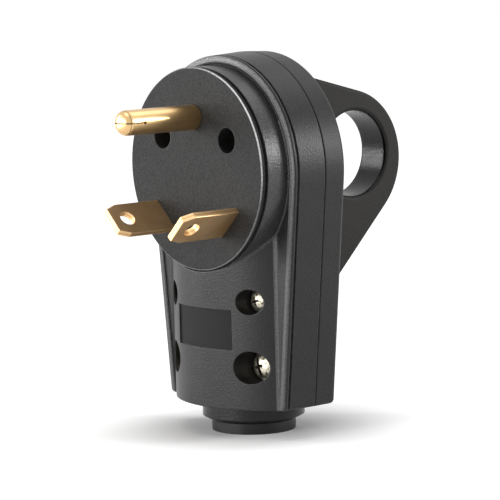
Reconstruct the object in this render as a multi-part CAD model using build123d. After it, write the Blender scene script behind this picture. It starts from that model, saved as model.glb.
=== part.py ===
from build123d import *
import math
import os

os.makedirs("parts", exist_ok=True)

# A rewirable cord connector with one round earth pin, two flat blades and a finger ring at its back.
# Sizes are in millimetres. +Z is up, the contacts point along -Y, and X = 0 is the plane of symmetry.
# The origin is on the axis of the cord, at the bottom of the cord grommet.
# A depth is a distance in front of the cord's axis, towards the contacts. Behind it, a depth is negative.

# Body outline, seen from the front
face_height = 67.5
head_radius = 28.4
side_taper = 5.6
body_bottom = 7.8
body_corner = 1.2
wall = 2.4

# Depths of the body's planes
land_front = 8.6
bead_rise = 0.6
parting = -0.8
rear_edge = -7.8
front_draft = 3.4
rear_draft = 2.4

# Bead and grooves of the flange
bead_width = 1.8
bead_rounding = 0.8
bead_lip = 0.3
groove_width = 0.7
groove_depth = 0.4
groove_gap = 0.4
parting_chamfer = 0.25
rear_rounding = 1.2

# Round boss and the face plate in front of it
face_radius = 25.4
face_front = 17.4
rim_thickness = 1.4
rim_rounding = 0.6
shadow_gap = 0.7
shadow_depth = 0.7
plate_thickness = 3.2
register_height = 1.5
register_wall = 1.3
register_clearance = 0.1
plate_gap = 0.3

# Arched hood below the face, and the arched back
hood_crest = 17.2
hood_side_margin = 8.2
hood_foot_rounding = 2.4
back_crest = 14.8
back_side_margin = 9.3
boss_foot_rounding = 0.6

# Bare recess in the hood
recess_margin = 4.2
recess_height = 10.1
recess_centre = 27.7
recess_depth = 0.45

# Fin handle with a round finger hole
fin_thickness = 10.0
fin_centre_back = 30.5
fin_centre_height = 66.5
fin_radius = 18.05
fin_top_angle = 75.0
fin_bottom_angle = -45.0
fin_rounding = 0.9
fin_foot_rounding = 1.0
finger_radius = 11.05
finger_back = 32.4
finger_height = 67.9
finger_rounding = 1.1

# Contacts
pin_radius = 3.15
pin_length = 23.4
pin_edge = 12.45
pin_nose = 2.2
pin_root_radius = 2.9
pin_root_relief = 0.15
pin_slit_width = 0.25
pin_slit_start = 1.5
pin_slit_length = 4.2
pin_slit_end_radius = 0.42
blade_edge = 7.69
blade_turn = 45.0
blade_width = 9.5
blade_thickness = 1.75
blade_length = 16.9
blade_cut_length = 3.2
blade_cut_width = 1.15
blade_edge_rounding = 0.25
blade_hole_radius = 2.1
blade_hole_from_tip = 4.6
contact_clearance = 0.06
shoulder_thickness = 1.5
pin_shoulder_radius = 5.0
blade_shoulder = (12.0, 5.0)
pin_tail_radius = 2.2
blade_tail_width = 5.6
tail_length = 2.5

# Terminals behind the contacts
lug_size = (9.0, 7.0)
lug_length = 6.0
saddle_size = (8.4, 6.6)
saddle_thickness = 1.8
saddle_groove_width = 1.7
saddle_groove_depth = 0.6
terminal_thread = 1.9
terminal_head_radius = 2.8
terminal_head_height = 2.2
terminal_thread_length = 2.2

# Insulating carrier behind the face plate
carrier_thickness = 2.5
barrier_thickness = 2.0
barrier_back = 0.5
barrier_edge = 1.9
barrier_screw_gap = 3.6
carrier_screw_edge = 4.3
carrier_screw_drop = 1.0
carrier_thread = 1.25
carrier_head_radius = 2.2
carrier_head_height = 1.5
carrier_pad_radius = 2.6
carrier_screw_length = 5.0

# Screws in the two wells of the face
face_well_edge = 12.95
face_well_rise = 7.7
face_well_radius = 3.2
face_seat = 6.0
face_floor = 2.0
face_screw_length = 8.0

# Screws in the four wells of the hood
upper_height = 34.9
upper_well_radius = 3.15
upper_seat = 9.5
upper_screw_length = 16.0
clamp_height = 18.5
clamp_well_radius = 4.1
clamp_seat = 7.7
clamp_screw_length = 13.5
well_wall = 1.5

# Fasteners
small_thread = 1.5
small_head_radius = 2.5
small_head_height = 1.7
clamp_thread = 2.0
clamp_head_radius = 3.1
clamp_head_height = 2.0
washer_radius = 3.75
washer_thickness = 0.8
insert_radius = 2.3
insert_length = 5.0
nut_size = 6.4
nut_thickness = 2.4
hole_clearance = 0.2
fit_clearance = 0.05
driver_width = 0.7
driver_depth = 0.8
driver_span = 1.3
crown_share = 0.6

# Cord clamp
cord_radius = 7.5
cord_clearance = 0.2
clamp_strap = 3.5
clamp_bar_depth = 4.5
clamp_bar_height = 9.2
clamp_bar_gap = 1.1
clamp_screw_edge = 4.8
rib_thickness = 2.4

# Cord collar and grommet
collar_radius = 13.0
collar_foot_radius = 10.9
collar_foot_height = 1.1
grommet_height = 2.7
grommet_radius = 10.7
sleeve_radius = 9.0
neck_radius = 10.9
neck_clearance = 0.1
flange_radius = 12.2
flange_thickness = 1.8

# Values worked out from the ones above
bead_front = land_front + bead_rise
pocket_front = land_front - wall
pocket_back = rear_edge + wall
pocket_inset = wall + (bead_front - parting) * math.tan(math.radians(front_draft))
body_floor = body_bottom + wall
clamp_low = clamp_height - clamp_bar_height / 2
clamp_half_width = head_radius + (clamp_low - face_height) * math.sin(math.radians(side_taper))
clamp_half_width /= math.cos(math.radians(side_taper))
clamp_bar_half_length = clamp_half_width - pocket_inset - clamp_bar_gap
hood_screw_x = clamp_bar_half_length - clamp_screw_edge
hood_half_width = head_radius - hood_side_margin
back_half_width = head_radius - back_side_margin
recess_width = 2 * (hood_screw_x - recess_margin)
boss_front = face_front - rim_thickness - shadow_gap
boss_bore = face_radius - wall
plate_back = face_front - plate_thickness
register_back = plate_back - register_height
shoulder_back = plate_back - shoulder_thickness
carrier_back = register_back - carrier_thickness
lug_back = shoulder_back - lug_length
saddle_back = lug_back - saddle_thickness
carrier_radius = boss_bore - register_clearance
carrier_screw_x = carrier_radius - carrier_screw_edge
carrier_screw_height = face_height - carrier_screw_drop
barrier_low = face_height - carrier_radius + barrier_edge
barrier_half_span = carrier_screw_x - barrier_screw_gap
sleeve_end = face_seat - face_floor
sleeve_outside = face_well_radius + well_wall
face_well_x = face_radius - face_well_edge
face_well_height = face_height + face_well_rise
post_radius = insert_radius + well_wall
clamp_back = parting - clamp_bar_depth
far = 4 * head_radius
below = body_bottom - head_radius
near = 0.01

# Places of the contacts: sideways, up and turned
blade_offset = (face_radius - blade_edge) * math.cos(math.radians(blade_turn))
pin_place = (0, face_height + face_radius - pin_edge, 0)
line_place = (blade_offset, face_height - blade_offset, blade_turn)
neutral_place = (-blade_offset, face_height - blade_offset, -blade_turn)


def slab(profile, back, front):
    """A profile drawn from the front, made solid between two depths."""
    return extrude(Plane.XZ.offset(back) * profile, front - back)


def rod(x, z, radius, back, front):
    """A round bar along the depth."""
    return slab(Pos(x, z) * Circle(radius), back, front)


def both_sides(shape):
    """A shape and its mirror image across the plane of symmetry."""
    return shape + mirror(shape, about=Plane.YZ)


def hood_pair(height, radius, back, front):
    """Two round bars in line with a pair of screws in the hood."""
    return both_sides(rod(hood_screw_x, height, radius, back, front))


def face_pair(radius, back, front):
    """Two round bars in line with the screws of the face."""
    return both_sides(rod(face_well_x, face_well_height, radius, back, front))


def carrier_pair(radius, back, front):
    """Two round bars in line with the screws of the carrier."""
    return both_sides(rod(carrier_screw_x, carrier_screw_height, radius, back, front))


def contact_slab(place, profile, back, front):
    """A profile at a contact's place, turned with it, made solid between two depths."""
    x, z, turn = place
    return slab(Pos(x, z) * Rot(0, 0, turn) * profile, back, front)


def arc_radius(half_width, rise):
    """Radius of the arc that rises this much over a chord of this half width."""
    return (half_width ** 2 + rise ** 2) / (2 * rise)


def draft_inset(depth):
    """How far the sides have drawn in at a depth, from the widest line at the parting."""
    angle = front_draft if depth > parting else rear_draft
    return abs(depth - parting) * math.tan(math.radians(angle))


def body_outline(inset, bottom, corner=body_corner):
    """A round head with straight sides that taper down to a flat bottom."""
    radius = head_radius - inset
    lean = math.radians(side_taper)
    touch_x = radius * math.cos(lean)
    touch_z = face_height - radius * math.sin(lean)
    foot_x = (radius + (bottom - face_height) * math.sin(lean)) / math.cos(lean)
    edges = Line((-foot_x, bottom), (foot_x, bottom))
    edges += Line((foot_x, bottom), (touch_x, touch_z))
    edges += ThreePointArc((touch_x, touch_z), (0, face_height + radius), (-touch_x, touch_z))
    edges += Line((-touch_x, touch_z), (-foot_x, bottom))
    sketch = make_face(edges)
    return fillet(sketch.vertices().sort_by(Axis.Y)[:2], corner)


def outlines(*places):
    """The body's outline at several depths, each with its own inset and reaching below the body."""
    return [Plane.XZ.offset(depth) * body_outline(inset, below) for depth, inset in places]


def drafted_body(back, front):
    """The body's outline between two depths, with the sides drawn in from the parting."""
    ends = [Plane.XZ.offset(d) * body_outline(draft_inset(d), body_bottom) for d in (back, front)]
    return loft(ends, ruled=True)


def edges_at_depth(solid, depth, above):
    """Edges that lie in one plane of depth, higher than a given level."""
    flat = solid.edges().filter_by_position(Axis.Y, -depth - near, -depth + near)
    return flat.filter_by(lambda edge: edge.center().Z > above)


def hood_solid(inset, bottom, top):
    """The arched front, which stands on the flange with hollow-rounded feet."""
    radius = arc_radius(hood_half_width, hood_crest - land_front)
    centre = radius - hood_crest
    front_half = Pos(0, -land_front - far / 2) * Rectangle(2 * far, far)
    arch = (Pos(0, centre) * Circle(radius - inset)) & front_half
    foot = Pos(0, wall / 2 - land_front) * Rectangle(2 * (hood_half_width - inset) + hood_foot_rounding, wall)
    profile = arch + foot
    if inset == 0:
        corners = profile.vertices().filter_by(lambda v: abs(v.Y + land_front) < near)
        inner = corners.sort_by(lambda v: abs(v.X))[:2]
        profile = fillet(inner, hood_foot_rounding)
    return Pos(0, 0, bottom) * extrude(profile, top - bottom)


def back_solid(inset, bottom):
    """The arched back, which ends at the head in a dome of the same radius."""
    radius = arc_radius(back_half_width, back_crest + rear_edge)
    centre = back_crest - radius
    height = face_height - bottom
    arch = Pos(0, centre, bottom + height / 2) * Cylinder(radius - inset, height)
    dome = Pos(0, centre, face_height) * Sphere(radius - inset)
    start = -rear_edge - wall / 2 - inset
    behind = Pos(0, start + far / 2, face_height) * Box(2 * far, far, 2 * far)
    return (arch + dome) & behind


def collar_opening():
    """The hole for the collar's neck, shared by both shells."""
    return Pos(0, 0, body_bottom) * Cylinder(neck_radius + neck_clearance, 2 * wall)


def parting_groove():
    """Edges of the parting, chamfered so that a fine line shows where the shells meet."""
    inner = Plane.XZ.offset(parting) * body_outline(parting_chamfer, body_bottom + parting_chamfer)
    widest = body_outline(0, body_bottom)
    front = loft([inner, Plane.XZ.offset(parting + parting_chamfer) * widest], ruled=True)
    back = loft([inner, Plane.XZ.offset(parting - parting_chamfer) * widest], ruled=True)
    ring = slab(body_outline(-wall, body_bottom - wall), parting - parting_chamfer, parting + parting_chamfer)
    return ring - front - back


def bead_flange():
    """Flange with a rounded bead round its land, and a groove round its side behind the bead."""
    flange = drafted_body(parting, bead_front)
    flange = fillet(edges_at_depth(flange, bead_front, body_bottom + near), bead_rounding)
    inside = draft_inset(bead_front) + bead_width
    flange -= slab(body_outline(inside, below), land_front, bead_front)
    flange -= loft(outlines((bead_front - bead_lip, inside), (bead_front, inside - bead_lip)), ruled=True)
    groove_front = bead_front - bead_rounding - groove_gap
    groove_back = groove_front - groove_width
    groove = slab(body_outline(-wall, below), groove_back, groove_front)
    groove -= slab(body_outline(draft_inset(groove_front) + groove_depth, below), groove_back, groove_front)
    return flange - groove


def front_shell():
    """Flange with its bead, round boss, arched hood and the wells of its four screws."""
    boss_end = hood_crest + wall
    outer = bead_flange() + rod(0, face_height, face_radius, parting, boss_end)
    outer += hood_solid(0, body_bottom, face_height)
    seam = outer.edges().filter_by_position(Axis.Y, -hood_crest - near, -hood_crest + near)
    outer = fillet(seam.sort_by(Axis.Z)[-1], boss_foot_rounding)
    outer -= rod(0, face_height, face_radius + plate_gap, boss_front, boss_end)

    pocket = slab(body_outline(pocket_inset, body_floor, body_corner / 2), parting, pocket_front)
    hood_pocket = hood_solid(wall, body_floor, face_height)
    pocket += hood_pocket - rod(0, face_height, face_radius, parting, face_front)
    pocket += rod(0, face_height, boss_bore, parting, boss_front)
    shell = outer - pocket

    inside = hood_pair(upper_height, upper_well_radius + well_wall, parting, hood_crest)
    inside += hood_pair(clamp_height, clamp_well_radius + well_wall, parting, hood_crest)
    inside += slab(Pos(0, clamp_height) * Rectangle(2 * hood_screw_x, rib_thickness), parting, hood_crest)
    shell += (inside & outer) - Cylinder(cord_radius + cord_clearance, far)

    shell -= hood_pair(upper_height, upper_well_radius, upper_seat, face_front + wall)
    shell -= hood_pair(upper_height, small_thread + hole_clearance, parting, face_front)
    shell -= hood_pair(clamp_height, clamp_well_radius, clamp_seat, face_front + wall)
    shell -= hood_pair(clamp_height, clamp_thread + hole_clearance, parting, face_front)

    recess = Pos(0, -hood_crest, recess_centre) * Box(recess_width, 2 * wall, recess_height)
    shell -= recess - hood_solid(recess_depth, body_bottom, face_height)
    return shell - collar_opening() - parting_groove()


def on_fin_rim(angle):
    """A point on the round end of the fin: how far back and how high."""
    turn = math.radians(angle)
    out = Vector(math.cos(turn), math.sin(turn))
    return Vector(fin_centre_back, fin_centre_height) + out * fin_radius


def fin_handle():
    """Fin in the plane of symmetry, round at the back, with a finger hole through it."""
    root = -rear_edge - wall / 2
    top_touch = on_fin_rim(fin_top_angle)
    low_touch = on_fin_rim(fin_bottom_angle)
    top_root = Vector(root, top_touch.Y + (top_touch.X - root) / math.tan(math.radians(fin_top_angle)))
    low_root = Vector(root, low_touch.Y + (low_touch.X - root) / math.tan(math.radians(fin_bottom_angle)))
    edges = Line(top_root, top_touch) + ThreePointArc(top_touch, on_fin_rim(0), low_touch)
    edges += Line(low_touch, low_root) + Line(low_root, top_root)
    fin = extrude(Plane.YZ * make_face(edges), fin_thickness / 2, both=True)
    rim_edges = fin.edges().filter_by(lambda e: abs(abs(e.center().X) - fin_thickness / 2) < near)
    fin = fillet(rim_edges.filter_by(lambda e: e.center().Y > root + wall / 2), fin_rounding)
    fin -= Pos(0, finger_back, finger_height) * Rot(0, 90, 0) * Cylinder(finger_radius, 2 * fin_thickness)
    hole_edges = fin.edges().filter_by(GeomType.CIRCLE)
    return fillet(hole_edges.filter_by(lambda e: abs(e.radius - finger_radius) < near), finger_rounding)


def rear_shell():
    """Back half of the body with its arched back, fin handle and posts for the screws."""
    base = drafted_body(parting, rear_edge)
    base = fillet(edges_at_depth(base, rear_edge, body_bottom + body_corner), rear_rounding)
    outer = base + back_solid(0, body_bottom) + fin_handle()
    fin_foot = outer.edges().filter_by(lambda e: abs(abs(e.center().X) - fin_thickness / 2) < near)
    fin_foot = fin_foot.filter_by(lambda e: e.center().Y < back_crest and e.length > wall)
    outer = fillet(fin_foot, fin_foot_rounding)
    pocket = slab(body_outline(pocket_inset, body_floor, body_corner / 2), pocket_back, parting)
    pocket += back_solid(wall, body_floor)
    shell = outer - pocket

    posts = hood_pair(upper_height, post_radius, -back_crest, parting)
    posts += face_pair(post_radius, -back_crest, parting)
    shell += posts & outer
    shell += face_pair(post_radius, parting, sleeve_end)

    upper_tip = upper_seat - upper_screw_length - hole_clearance
    shell -= hood_pair(upper_height, insert_radius + fit_clearance, parting - insert_length, parting)
    shell -= hood_pair(upper_height, small_thread + hole_clearance, upper_tip, parting)
    face_tip = face_seat - face_screw_length - hole_clearance
    shell -= face_pair(insert_radius + fit_clearance, sleeve_end - insert_length, sleeve_end)
    shell -= face_pair(small_thread + hole_clearance, face_tip, sleeve_end)
    return shell - collar_opening() - parting_groove()


def face_plate():
    """Round insulating face with a rounded rim, a shadow gap behind it and two deep screw wells."""
    rim = rod(0, face_height, face_radius, face_front - rim_thickness, face_front)
    rim = fillet(rim.edges().filter_by(GeomType.CIRCLE), rim_rounding)
    plate = rim + rod(0, face_height, face_radius - shadow_depth, boss_front, face_front - rim_thickness / 2)
    plate += rod(0, face_height, carrier_radius, plate_back, boss_front)
    register = rod(0, face_height, carrier_radius, register_back, plate_back)
    plate += register - rod(0, face_height, carrier_radius - register_wall, register_back, plate_back)
    plate += face_pair(sleeve_outside - hole_clearance, sleeve_end, plate_back)
    plate += carrier_pair(carrier_pad_radius, register_back, plate_back)

    plate -= face_pair(face_well_radius, face_seat, face_front)
    plate -= face_pair(small_thread + hole_clearance, sleeve_end, face_front)
    carrier_tip = carrier_back + carrier_screw_length
    plate -= carrier_pair(carrier_thread + fit_clearance, register_back, carrier_tip + fit_clearance)
    plate -= contact_slab(pin_place, Circle(pin_radius + contact_clearance), plate_back, face_front)
    slot = Rectangle(blade_width + 2 * contact_clearance, blade_thickness + 2 * contact_clearance)
    for place in (line_place, neutral_place):
        plate -= contact_slab(place, slot, plate_back, face_front)
    return plate


def ground_pin():
    """Round pin with a rounded nose, a slit that ends in a small hole, a shoulder and a tail."""
    tip = face_front + pin_length
    root = face_front + pin_root_relief
    pin = contact_slab(pin_place, Circle(pin_radius), root, tip)
    pin = fillet(pin.edges().filter_by_position(Axis.Y, -tip - near, -tip + near), pin_nose)
    slit_end = tip - pin_slit_start - pin_slit_length
    pin -= contact_slab(pin_place, Rectangle(far, pin_slit_width), slit_end, tip - pin_slit_start)
    pin -= Pos(0, -slit_end, pin_place[1]) * Rot(0, 90, 0) * Cylinder(pin_slit_end_radius, far)
    pin += contact_slab(pin_place, Circle(pin_root_radius), plate_back, root)
    pin += contact_slab(pin_place, Circle(pin_shoulder_radius), shoulder_back, plate_back)
    return pin + contact_slab(pin_place, Circle(pin_tail_radius), shoulder_back - tail_length, shoulder_back)


def blade(place):
    """Flat blade with cut corners, a hole near its tip, a shoulder and a tail in its lug."""
    x, z, turn = place
    length = face_front + blade_length - shoulder_back
    half = blade_width / 2
    corner = (half, length - blade_cut_length)
    tip = (half - blade_cut_width, length)
    strip = make_face(Polyline(
        (-half, 0), (half, 0), corner, tip, (-tip[0], length), (-half, corner[1]), close=True))
    flat = extrude(strip, blade_thickness / 2, both=True)
    rims = flat.edges().filter_by(lambda e: abs(abs(e.center().Z) - blade_thickness / 2) < near)
    flat = fillet(rims.filter_by(lambda e: e.center().Y > near), blade_edge_rounding)
    flat -= Pos(0, length - blade_hole_from_tip) * Cylinder(blade_hole_radius, 2 * blade_thickness)
    lean = math.radians(turn)
    across = (math.cos(lean), 0, math.sin(lean))
    outward = (math.sin(lean), 0, -math.cos(lean))
    solid = Plane(origin=(x, -shoulder_back, z), x_dir=across, z_dir=outward) * flat
    solid += contact_slab(place, Rectangle(*blade_shoulder), shoulder_back, plate_back)
    tail = Rectangle(blade_tail_width, blade_thickness)
    return solid + contact_slab(place, tail, shoulder_back - tail_length, shoulder_back)


def contact_carrier():
    """Plate that holds the contacts' shoulders, with walls that part the three terminals."""
    plate = rod(0, face_height, carrier_radius, carrier_back, register_back)
    upright_height = face_height - barrier_low
    upright = Pos(0, barrier_low + upright_height / 2) * Rectangle(barrier_thickness, upright_height)
    plate += slab(upright, barrier_back, register_back)
    cross = Pos(0, face_height) * Rectangle(2 * barrier_half_span, barrier_thickness)
    plate += slab(cross, barrier_back, register_back)
    plate -= face_pair(sleeve_outside, carrier_back, register_back)
    plate -= carrier_pair(carrier_thread + hole_clearance, carrier_back, register_back)
    window = Rectangle(lug_size[0] + 2 * hole_clearance, lug_size[1] + 2 * hole_clearance)
    for place in (pin_place, line_place, neutral_place):
        plate -= contact_slab(place, window, carrier_back, register_back)
    return plate


def lug(place, tail):
    """Terminal block on a contact's tail, with a threaded hole at its back."""
    block = contact_slab(place, Rectangle(*lug_size), lug_back, shoulder_back)
    block -= contact_slab(place, tail, shoulder_back - tail_length - fit_clearance, shoulder_back)
    hole_tip = lug_back + terminal_thread_length + fit_clearance
    return block - contact_slab(place, Circle(terminal_thread + fit_clearance), lug_back, hole_tip)


def saddle(place):
    """Plate that the terminal screw presses on the wire, with a wire groove across it."""
    plate = contact_slab(place, Rectangle(*saddle_size), saddle_back, lug_back)
    groove = Rectangle(saddle_groove_width, far)
    plate -= contact_slab(place, groove, lug_back - saddle_groove_depth, lug_back)
    return plate - contact_slab(place, Circle(terminal_thread + hole_clearance), saddle_back, lug_back)


def screw(x, z, seat, radius, height, thread, length, facing=1):
    """Screw with a domed, cross-cut head. Facing is 1 when the head is in front of its seat, else -1."""
    top = seat + facing * height
    head = rod(x, z, radius, min(seat, top), max(seat, top))
    crown = head.edges().filter_by_position(Axis.Y, -top - near, -top + near)
    head = fillet(crown, crown_share * height)
    cut_back, cut_front = sorted((top - facing * driver_depth, top))
    span = driver_span * radius
    cross = Rectangle(driver_width, span) + Rectangle(span, driver_width)
    head -= slab(Pos(x, z) * cross, cut_back, cut_front)
    shank_back, shank_front = sorted((seat, seat - facing * length))
    return head + rod(x, z, thread, shank_back, shank_front)


def terminal_screw(place):
    """Screw that holds a wire under its saddle."""
    x, z, turn = place
    length = saddle_thickness + terminal_thread_length
    return screw(
        x, z, saddle_back, terminal_head_radius, terminal_head_height, terminal_thread, length, facing=-1)


def washer():
    """Flat ring under a clamp screw's head."""
    ring = rod(hood_screw_x, clamp_height, washer_radius, clamp_seat, clamp_seat + washer_thickness)
    return ring - rod(hood_screw_x, clamp_height, clamp_thread + hole_clearance, clamp_seat, bead_front)


def insert(x, z, mouth):
    """Threaded brass sleeve in a post."""
    sleeve = rod(x, z, insert_radius, mouth - insert_length, mouth)
    return sleeve - rod(x, z, small_thread + fit_clearance, mouth - insert_length, mouth)


def cord_clamp():
    """Bar that arches over the cord, with a pocket for a square nut at each end."""
    bar = Pos(0, -parting + clamp_bar_depth / 2) * Rectangle(2 * clamp_bar_half_length, clamp_bar_depth)
    behind = Pos(0, far / 2 - parting) * Rectangle(far, far)
    arch = Circle(cord_radius + cord_clearance + clamp_strap) & behind
    profile = bar + arch - Circle(cord_radius + cord_clearance)
    solid = Pos(0, 0, clamp_low) * extrude(profile, clamp_bar_height)
    solid -= hood_pair(clamp_height, clamp_thread + hole_clearance, clamp_back, parting)
    pocket_size = nut_size + 2 * hole_clearance
    pocket = Pos(hood_screw_x, clamp_height) * Rectangle(pocket_size, pocket_size)
    return solid - both_sides(slab(pocket, clamp_back, clamp_back + nut_thickness))


def clamp_nut():
    """Square nut in the clamp bar."""
    outline = Pos(hood_screw_x, clamp_height) * Rectangle(nut_size, nut_size)
    block = slab(outline, clamp_back, clamp_back + nut_thickness)
    return block - rod(hood_screw_x, clamp_height, clamp_thread + fit_clearance, clamp_back, parting)


def turned(points):
    """Ring turned about the cord's axis from a closed outline of radius and height."""
    return revolve(Plane.XZ * make_face(Polyline(*points, close=True)), Axis.Z)


def collar_ring():
    """Upper ring of the cord collar, held in the shells by a neck and a flange."""
    bore = sleeve_radius + fit_clearance
    top = body_floor + flange_thickness
    outline = [
        (bore, grommet_height), (collar_foot_radius, grommet_height),
        (collar_radius, grommet_height + collar_foot_height), (collar_radius, body_bottom),
        (neck_radius, body_bottom), (neck_radius, body_floor),
        (flange_radius, body_floor), (flange_radius, top), (bore, top),
    ]
    return turned(outline)


def cord_grommet():
    """Soft sleeve that lines the cord hole, with a lip below the collar ring."""
    top = body_floor + flange_thickness
    outline = [
        (cord_radius, 0), (grommet_radius, 0), (grommet_radius, grommet_height),
        (sleeve_radius, grommet_height), (sleeve_radius, top), (cord_radius, top),
    ]
    return turned(outline)


pin_tail = Circle(pin_tail_radius + fit_clearance)
blade_tail = Rectangle(blade_tail_width + 2 * fit_clearance, blade_thickness + 2 * fit_clearance)

nodes = {
    "front_shell": front_shell(),
    "rear_shell": rear_shell(),
    "face_plate": face_plate(),
    "ground_pin": ground_pin(),
    "line_blade": blade(line_place),
    "neutral_blade": blade(neutral_place),
    "contact_carrier": contact_carrier(),
    "ground_lug": lug(pin_place, pin_tail),
    "line_lug": lug(line_place, blade_tail),
    "neutral_lug": lug(neutral_place, blade_tail),
    "ground_saddle": saddle(pin_place),
    "line_saddle": saddle(line_place),
    "neutral_saddle": saddle(neutral_place),
    "ground_screw": terminal_screw(pin_place),
    "line_screw": terminal_screw(line_place),
    "neutral_screw": terminal_screw(neutral_place),
    "carrier_screws": both_sides(screw(
        carrier_screw_x, carrier_screw_height, carrier_back, carrier_head_radius,
        carrier_head_height, carrier_thread, carrier_screw_length, facing=-1)),
    "face_screws": both_sides(screw(
        face_well_x, face_well_height, face_seat, small_head_radius,
        small_head_height, small_thread, face_screw_length)),
    "upper_screws": both_sides(screw(
        hood_screw_x, upper_height, upper_seat, small_head_radius,
        small_head_height, small_thread, upper_screw_length)),
    "clamp_screws": both_sides(screw(
        hood_screw_x, clamp_height, clamp_seat + washer_thickness, clamp_head_radius,
        clamp_head_height, clamp_thread, clamp_screw_length)),
    "clamp_washers": both_sides(washer()),
    "face_inserts": both_sides(insert(face_well_x, face_well_height, sleeve_end)),
    "upper_inserts": both_sides(insert(hood_screw_x, upper_height, parting)),
    "cord_clamp": cord_clamp(),
    "clamp_nuts": both_sides(clamp_nut()),
    "collar_ring": collar_ring(),
    "cord_grommet": cord_grommet(),
}

for name, solid in nodes.items():
    export_step(solid, f"parts/{name}.step")
    print(name, len(solid.solids()), round(solid.volume, 1))
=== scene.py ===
import bpy
import math
from mathutils import Matrix, Vector


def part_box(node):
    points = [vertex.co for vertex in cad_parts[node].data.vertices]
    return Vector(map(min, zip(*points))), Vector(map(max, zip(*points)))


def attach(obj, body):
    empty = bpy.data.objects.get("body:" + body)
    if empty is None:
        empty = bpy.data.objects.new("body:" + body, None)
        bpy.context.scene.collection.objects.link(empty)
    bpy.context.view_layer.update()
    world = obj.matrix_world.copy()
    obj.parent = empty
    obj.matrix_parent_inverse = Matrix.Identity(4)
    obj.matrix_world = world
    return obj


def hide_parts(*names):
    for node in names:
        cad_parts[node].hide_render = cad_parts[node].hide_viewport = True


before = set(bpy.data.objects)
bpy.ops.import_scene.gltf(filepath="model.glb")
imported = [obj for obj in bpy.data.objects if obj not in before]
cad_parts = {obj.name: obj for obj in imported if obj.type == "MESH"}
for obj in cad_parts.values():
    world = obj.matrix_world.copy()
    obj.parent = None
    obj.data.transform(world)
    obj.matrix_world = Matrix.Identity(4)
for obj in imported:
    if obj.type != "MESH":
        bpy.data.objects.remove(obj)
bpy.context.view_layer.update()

# A cord connector of black moulded plastic with brass contacts, standing on its collar on a white floor.
# Metres throughout, in the frame of the solids: +Z up, and the contacts point along -Y.

MM = 0.001

# The round face, the earth pin and the blades, from the frame
face_low, face_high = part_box("face_plate")
FACE_RADIUS = face_high.x
FACE_HEIGHT = (face_low.z + face_high.z) / 2
FACE_FRONT = face_low.y
pin_low, pin_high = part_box("ground_pin")
PIN_TIP = pin_low.y
PIN_HEIGHT = (pin_low.z + pin_high.z) / 2
blade_low, blade_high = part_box("line_blade")
BLADE_ASIDE = (blade_low.x + blade_high.x) / 2
BLADE_HEIGHT = (blade_low.z + blade_high.z) / 2

# The flange's land, and the front of the bead that stands on it
LAND_FRONT = -8.6 * MM
BEAD_FRONT = LAND_FRONT - 0.6 * MM

# Camera, fitted to the photograph: its angles and distance, its aim to the right of the bead's middle and
# above it, and its lens
CAMERA_YAW = math.radians(49.36)
CAMERA_PITCH = math.radians(6.97)
CAMERA_ROLL = math.radians(-1.41)
CAMERA_DISTANCE = 700.0 * MM
CAMERA_AIM = (7.53 * MM, -20.87 * MM)
CAMERA_CLIP = (0.05, 20)
FOCAL_PIXELS = 2795.5
PICTURE_PIXELS = 500
SENSOR_MM = 36.0

# Softboxes: direction from the object, size in metres, watts
SOFTBOXES = {
    "far_left_softbox": ((-0.77, -0.62, 0.16), (0.07, 0.60), 4.3),
    "front_left_softbox": ((-0.40, -0.91, 0.10), (0.25, 0.40), 3.2),
    "front_strip_softbox": ((0.02, -0.99, 0.10), (0.28, 0.50), 5.4),
    "right_rear_softbox": ((0.71, 0.65, 0.27), (0.30, 0.15), 5.2),
    "high_rear_softbox": ((0.05, 0.62, 0.78), (0.50, 0.40), 1.0),
    "overhead_softbox": ((0.02, -0.20, 1.0), (0.50, 0.50), 1.5),
}
SOFTBOX_DISTANCE = 0.9
SOFTBOX_AIM = (0, 0, 50 * MM)
SURROUND_LIGHT = 0.02

# White that the floor adds for what looks at it, so that the shadow stays close to the object: the distance
# where it starts, the distance where it is full, and how much it is
FLOOR_WHITE_CLOSE = (8 * MM, 47 * MM, 0.6)
FLOOR_WHITE_FAR = (90 * MM, 900 * MM, 0.4)
FLOOR_HALF_SIDE = 3.0

# Regions of the plastics with a colour and a roughness of their own; several of the colours are painted
# highlight or painted shade. A pair is where the region starts and where it is full. The painted highlights
# on the bead and the rim are weakest, by these shares, at the far end from where they are strongest.
BOSS_RADII = (FACE_RADIUS + 0.8 * MM, FACE_RADIUS + 0.3 * MM)
BOSS_DEPTHS = (LAND_FRONT - 0.4 * MM, LAND_FRONT - 0.8 * MM)
RECESS_MIDDLE = 27.7 * MM
RECESS_HALF_WIDTHS = (10.3 * MM, 10.15 * MM)
RECESS_HALF_HEIGHTS = (5.1 * MM, 4.95 * MM)
RECESS_DEPTHS = (-14.6 * MM, -14.8 * MM)
BEAD_DEPTHS = (LAND_FRONT - 0.1 * MM, LAND_FRONT - 0.25 * MM)
BEAD_TOP = BEAD_FRONT - 0.1 * MM
BEAD_FACINGS = (-0.35, -0.6)
BEAD_HIGHLIGHT_HEIGHTS = (50 * MM, 68 * MM)
BEAD_LEAST_HIGHLIGHT = 0.4
GROOVE_SHADE_DEPTHS = (LAND_FRONT - 0.3 * MM, LAND_FRONT - 0.12 * MM)
GROOVE_SHADE_BACK = LAND_FRONT + 0.05 * MM
GROOVE_SHADE_HEIGHTS = (56 * MM, 66 * MM)
RIM_RADII = (FACE_RADIUS - 0.4 * MM, FACE_RADIUS - 0.28 * MM)
RIM_DEPTHS = (FACE_FRONT + 0.4 * MM, FACE_FRONT + 0.3 * MM)
RIM_HIGHLIGHT_TOWARDS = (0.77, 0, 0.64)
RIM_HIGHLIGHT_FROM_MIDDLE = (14 * MM, 24.5 * MM)
RIM_LEAST_HIGHLIGHT = 0.22
FIN_DEPTHS = (12 * MM, 16 * MM)
FINGER_HOLE = (0, 32.4 * MM, 67.9 * MM)
FINGER_BORE_RADII = (11.6 * MM, 11.2 * MM)

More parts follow.
